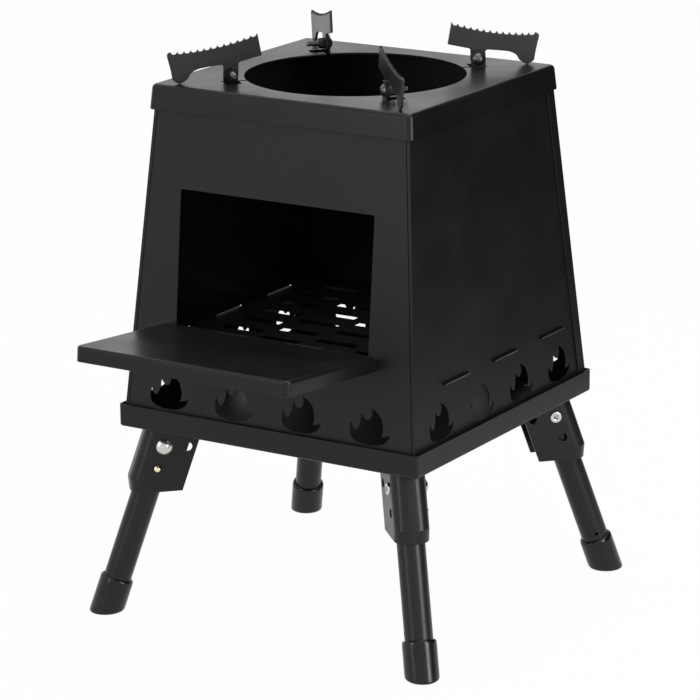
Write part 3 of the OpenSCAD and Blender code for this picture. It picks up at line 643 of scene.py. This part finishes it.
def shape_lug():
    """A lug with a round head and a round bend at its foot, made about its screw."""
    head_round, bend_round = 3.2, 1.2
    half, side = LUG_WIDE / 2, CAP_SHEET / 2
    lug = start_block("lug", (-half, -side, -SUPPORT_PIVOT - CAP_SHEET),
                      (half, side, LUG_HIGH - SUPPORT_PIVOT))
    round_off(lug, lambda at, way: abs(way.y) > 1 and at.z > 0, head_round, 6)
    round_off(lug, lambda at, way: abs(way.x) > 5 and at.z < 0 and at.y > 0, bend_round, 4)
    ease_edges(lug, 0.25, angle=45)
    return lug


def make_top_plate(coat):
    """Deep-edged plate: a block drawn in to its top and opened below, with round corners and bends,
    cut through, and with its four lugs."""
    draw_x, draw_y, corner_round, edge_round = 1.37, 1.8, 4.6, 3
    low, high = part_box("top_plate")
    top = places["support_flip_1"].z / MM - SUPPORT_PIVOT
    wide, deep = (high.x - low.x) / 2 / MM, (high.y - low.y) / 2 / MM
    mid = MID_Y / MM
    plate = start_block("fire_plate", (-wide, mid - deep, top - CAP_HIGH), (wide, mid + deep, top))
    pick(plate, "FACE", lambda at, way: way.z > FACING)
    bpy.ops.transform.resize(value=(1 - draw_x / wide, 1 - draw_y / deep, 1),
                             center_override=(0, MID_Y, top * MM))
    pick(plate, "FACE", lambda at, way: way.z < -FACING)
    bpy.ops.mesh.delete(type="FACE")
    round_off(plate, lambda at, way: abs(way.z) > 5, corner_round, 6)
    round_off(plate, lambda at, way: at.z > top - NEAR, edge_round, 6)
    thicken(plate, CAP_SHEET)
    cut_top_plate(plate, top)
    ease_edges(plate, 0.3, angle=45)
    lugs = spread(shape_lug(), "lug", [support_place(i) for i in CORNERS])
    plate = join("fire_plate", [plate] + lugs)
    finish(plate, coat, "lift_off_top", "top_plate")


def make_supports(coat):
    """The toothed pot supports keep the frame's shape, with eased edges."""
    for i in CORNERS:
        support = from_frame(f"pot_support_{i + 1}", f"toothed_support_{i + 1}")
        ease_edges(support, 0.28, angle=28)
        finish(support, coat, f"support_{i + 1}", f"pot_support_{i + 1}")


def make_support_screws(steel):
    """Round-headed screws with a cross recess. The thread is drawn as rings."""
    side = CAP_SHEET / 2
    head_wide, head_high = 4.6, 2.72
    thread_start, thread_end, pitch, thread_floor, end = 7.3, 15.4, 0.75, 1.68, 16.05
    rings = dome_rings(-side, head_wide, -head_high)[::-1] + [(-side, SCREW_R), (thread_start, SCREW_R)]
    at = thread_start + 0.2
    while at < thread_end:
        rings += [(at, SCREW_R), (at + pitch * 0.5, thread_floor)]
        at += pitch
    rings += [(end - 0.35, 1.7), (end, 1.4), (end, POLE)]
    screw = turn_piece("screw", rings, 28)
    recess_long, recess_wide, recess_floor, outside = 2.1, 0.42, -2.2, -6
    for turned in (20, 110):
        bit = start_block("bit", (-recess_long, -recess_wide, outside),
                          (recess_long, recess_wide, recess_floor))
        cut_out(screw, settle(bit, Matrix.Rotation(math.radians(turned), 4, "Z")))
    screws = spread(screw, "screw", [support_place(i) @ ALONG_Y for i in CORNERS])
    finish(join("round_head_screws", screws), steel, "lift_off_top", "support_screws")


def make_support_nuts(steel):
    """Hexagon nuts, chamfered all round on both faces."""
    high, middle, corner_r, chamfer = 4.2, 5.15, 4.1, 0.35
    lay_down()
    bpy.ops.mesh.primitive_cylinder_add(vertices=6, radius=NUT_FLAT / math.cos(math.radians(30)) * MM,
                                        depth=high * MM, location=(0, 0, middle * MM))
    nut = bpy.context.object
    settle(nut)
    start, end = middle - high / 2, middle + high / 2
    cone = turn_piece("chamfer", [
        (start - 0.01, POLE), (start - 0.01, NUT_FLAT), (start + chamfer, corner_r),
        (end - chamfer, corner_r), (end + 0.01, NUT_FLAT), (end + 0.01, POLE)], 36)
    cut_out(nut, cone, "INTERSECT")
    bore, bore_start, bore_end = SCREW_R + 0.03, 2, 8
    drill = turn_piece("bore", [
        (bore_start, POLE), (bore_start, bore), (bore_end, bore), (bore_end, POLE)], 28)
    cut_out(nut, drill)
    ease_edges(nut, 0.12, steps=1, angle=40)
    nuts = spread(nut, "nut", [support_place(i) @ ALONG_Y for i in CORNERS])
    finish(join("hexagon_nuts", nuts), steel, "lift_off_top", "support_nuts")


def make_brackets(coat):
    """The leg brackets keep the frame's shape, with eased edges."""
    for i in CORNERS:
        bracket = from_frame(f"leg_bracket_{i + 1}", f"leg_socket_{i + 1}")
        ease_edges(bracket, 0.3, angle=40)
        finish(bracket, coat, "stove_body", f"leg_bracket_{i + 1}")


def make_bracket_rivets(steel):
    """Rivets through bracket and tray: a domed head below, and the upset end of the shank above."""
    head_wide, head_high, shank, upset = 4, 1.8, 2, 3.2
    low = tray_low.z / MM - BRACKET_SHEET
    back = low + BRACKET_SHEET + TRAY_SHEET
    rivet = turn_piece("rivet", dome_rings(low, head_wide, -head_high)[::-1] + [
        (low, shank), (back, shank), (back, upset - 0.2), (back + 0.2, upset), (back + 0.7, upset),
        (back + 0.9, upset - 0.2), (back + 0.9, POLE)], 28)
    heads = spread(rivet, "rivet", [
        corner_place(i) @ Matrix.Translation((RIVET_R * MM, side * RIVET_OUT * MM, 0))
        for i in CORNERS for side in (-1, 1)])
    finish(join("flange_rivets", heads), steel, "stove_body", "bracket_rivets")


def make_pivot_rivets(steel):
    """Semi-tubular rivets: a domed head on one side, and the rolled ring of the shank on the other."""
    bore, bore_end, rolled, end = 1.8, -6.8, 4.35, -14
    head_wide, head_high = 6, 2.9
    rings = [(bore_end, POLE), (bore_end, bore), (end + 0.3, bore), (end, bore + 0.5),
             (end, rolled - 0.65), (end + 0.2, rolled - 0.25), (end + 0.6, rolled),
             (-BRACKET_OUT, rolled), (-BRACKET_OUT, PIVOT_R), (BRACKET_OUT, PIVOT_R),
             (BRACKET_OUT, head_wide - 0.2)] + dome_rings(BRACKET_OUT + 0.1, head_wide, head_high, 9)
    pivots = spread(turn_piece("pivot", rings, 48), "pivot", [leg_place(i) @ ALONG_Y for i in CORNERS])
    finish(join("leg_rivets", pivots), steel, "stove_body", "leg_pivot_rivets")


def shape_tube():
    """Round tube, drilled through for its rivet, and on one side each for its snap button and for a
    pin of its cap."""
    rivet_hole, button_hole, pin_hole = PIVOT_R + 0.05, 2.95, 1.25
    inside, outside = 2, TUBE_R + 2
    lay_down()
    bpy.ops.mesh.primitive_cylinder_add(vertices=72, radius=TUBE_R * MM, depth=(TUBE_LOW + TUBE_OVER) * MM,
                                        end_fill_type="NOTHING",
                                        location=(0, 0, (TUBE_OVER - TUBE_LOW) / 2 * MM))
    tube = bpy.context.object
    settle(tube)
    apply_modifier(tube, "SOLIDIFY", thickness=TUBE_WALL * MM, offset=-1)
    for wide, start, end, drop in (
        (rivet_hole, -outside, outside, 0),
        (button_hole, inside, outside, BUTTON_DROP),
        (pin_hole, -outside, -inside, CAP_RIM - 5),
    ):
        drill = turn_piece("drill", [(start, POLE), (start, wide), (end, wide), (end, POLE)], 28)
        cut_out(tube, settle(drill, Matrix.Translation((0, 0, -drop * MM)) @ ALONG_Y))
    ease_edges(tube, 0.2, angle=50)
    return tube


def shape_boot():
    """The first leg's moulded boot, with a round rim about the tube. It is turned too long, and cut
    level with the ground."""
    too_low, sole_round = -170, 2.2
    bore = TUBE_R + 0.02
    boot = turn_piece("boot", [
        (too_low, POLE), (too_low, CAP_R), (-CAP_RIM - 3.4, CAP_R), (-CAP_RIM - 1.6, CAP_R - 0.12),
        (-CAP_RIM - 0.6, CAP_R - 0.5), (-CAP_RIM - 0.1, CAP_R - 1.1), (-CAP_RIM, CAP_R - 1.7),
        (-CAP_RIM - 0.2, TUBE_R + 0.2), (-CAP_RIM - 0.6, bore), (-TUBE_LOW, bore), (-TUBE_LOW, POLE)], 72)
    settle(boot, leg_place(0))
    open_mesh(boot)
    bpy.ops.mesh.bisect(plane_co=(0, 0, 0), plane_no=(0, 0, 1), use_fill=True, clear_inner=True)
    round_off(boot, lambda at, way: abs(at.z) < 0.01, sole_round, 4)
    return boot


def shape_button():
    """A snap button: a flange inside the tube, a shank through its wall and a domed head."""
    flange_start, flange_end, flange = 3.1, 4.2, 4.0
    shank, shank_end, head_wide, head_high = 2.85, 12.2, 2.8, 2.1
    return turn_piece("button", [
        (flange_start, POLE), (flange_start, flange), (flange_end, flange), (flange_end, shank),
        (shank_end, shank)] + dome_rings(shank_end + 0.2, head_wide, head_high), 32)


def make_legs(coat, plastic, brass):
    """Each leg has its tube and its boot, and a snap button that moves on its own."""
    tube, boot, button = shape_tube(), shape_boot(), shape_button()
    for i in CORNERS:
        leg, number = f"leg_{i + 1}", i + 1
        own_tube = copy_to(tube, f"round_tube_{number}", leg_place(i))
        finish(own_tube, coat, leg, f"leg_tube_{number}")
        own_boot = copy_to(boot, f"boot_{number}", leg_place(i) @ leg_place(0).inverted())
        finish(own_boot, plastic, leg, f"foot_cap_{number}")
        place = leg_place(i) @ Matrix.Translation((0, 0, -BUTTON_DROP * MM)) @ ALONG_Y
        own_button = copy_to(button, f"brass_button_{number}", place)
        finish(own_button, brass, f"button_{number}", f"snap_button_{number}")
    for made in (tube, boot, button):
        bpy.data.objects.remove(made)


def coat_springs(steel):
    """The strip springs sit inside the tubes, so the frame's own shape stays."""
    for i in CORNERS:
        spring = frame["nodes"][f"button_spring_{i + 1}"]
        spring.material_slots[0].material = steel


set_camera()
set_studio()

coat_black = ("#0f0f10", "#151516")
body_coat = coated_steel("powder_coated_sheet_steel", coat_black, (0.38, 0.47), 1.1, 0.05)
plate_coat = coated_steel("powder_coated_top_plate", coat_black, (0.26, 0.36), 1.1, 0.05)
grate_coat = coated_steel("heat_dulled_grate_steel", ("#0b0b0b", "#100f0f"), (0.60, 0.70), 1.4, 0.06, 0.12)
leg_coat = coated_steel("powder_coated_leg_steel", ("#161617", "#1e1e1f"), (0.25, 0.35), 1.0, 0.05)
support_coat = coated_steel("powder_coated_cut_plate", ("#222223", "#2c2c2d"), (0.26, 0.36), 1.0, 0.05)
bright_zinc = plated_metal("bright_zinc_plated_steel", ("#d6d6d3", "#b9b9b6"), (0.16, 0.28), 2.5)
dark_zinc = plated_metal("dark_zinc_plated_steel", ("#6b6b6b", "#4b4b4c"), (0.28, 0.4), 2.0)
black_oxide = plated_metal("black_oxide_steel", ("#3c3c3d", "#29292a"), (0.3, 0.42), 1.2)
brass = plated_metal("tumbled_brass", ("#f3ecca", "#dfd39c"), (0.18, 0.30), 1.6)
# Bright bare steel for the grate tab ends, used as a painted highlight
tab_highlight_metal = plated_metal("bare_steel_painted_highlight", ("#6d6e70", "#4a4b4d"), (0.35, 0.5), 0.8)
spring_steel = plated_metal("blued_spring_steel", ("#8b8d92", "#6f7178"), (0.25, 0.35), 3.0)
cap_plastic = moulded_cap_plastic()

make_tray(body_coat)
make_walls(body_coat)
make_grate(grate_coat, tab_highlight_metal)
make_door(plate_coat)
make_hinge_pin(bright_zinc)
make_top_plate(plate_coat)
make_supports(support_coat)
make_support_screws(dark_zinc)
make_support_nuts(black_oxide)
make_brackets(leg_coat)
make_bracket_rivets(bright_zinc)
make_pivot_rivets(bright_zinc)
make_legs(leg_coat, cap_plastic, brass)
coat_springs(spring_steel)
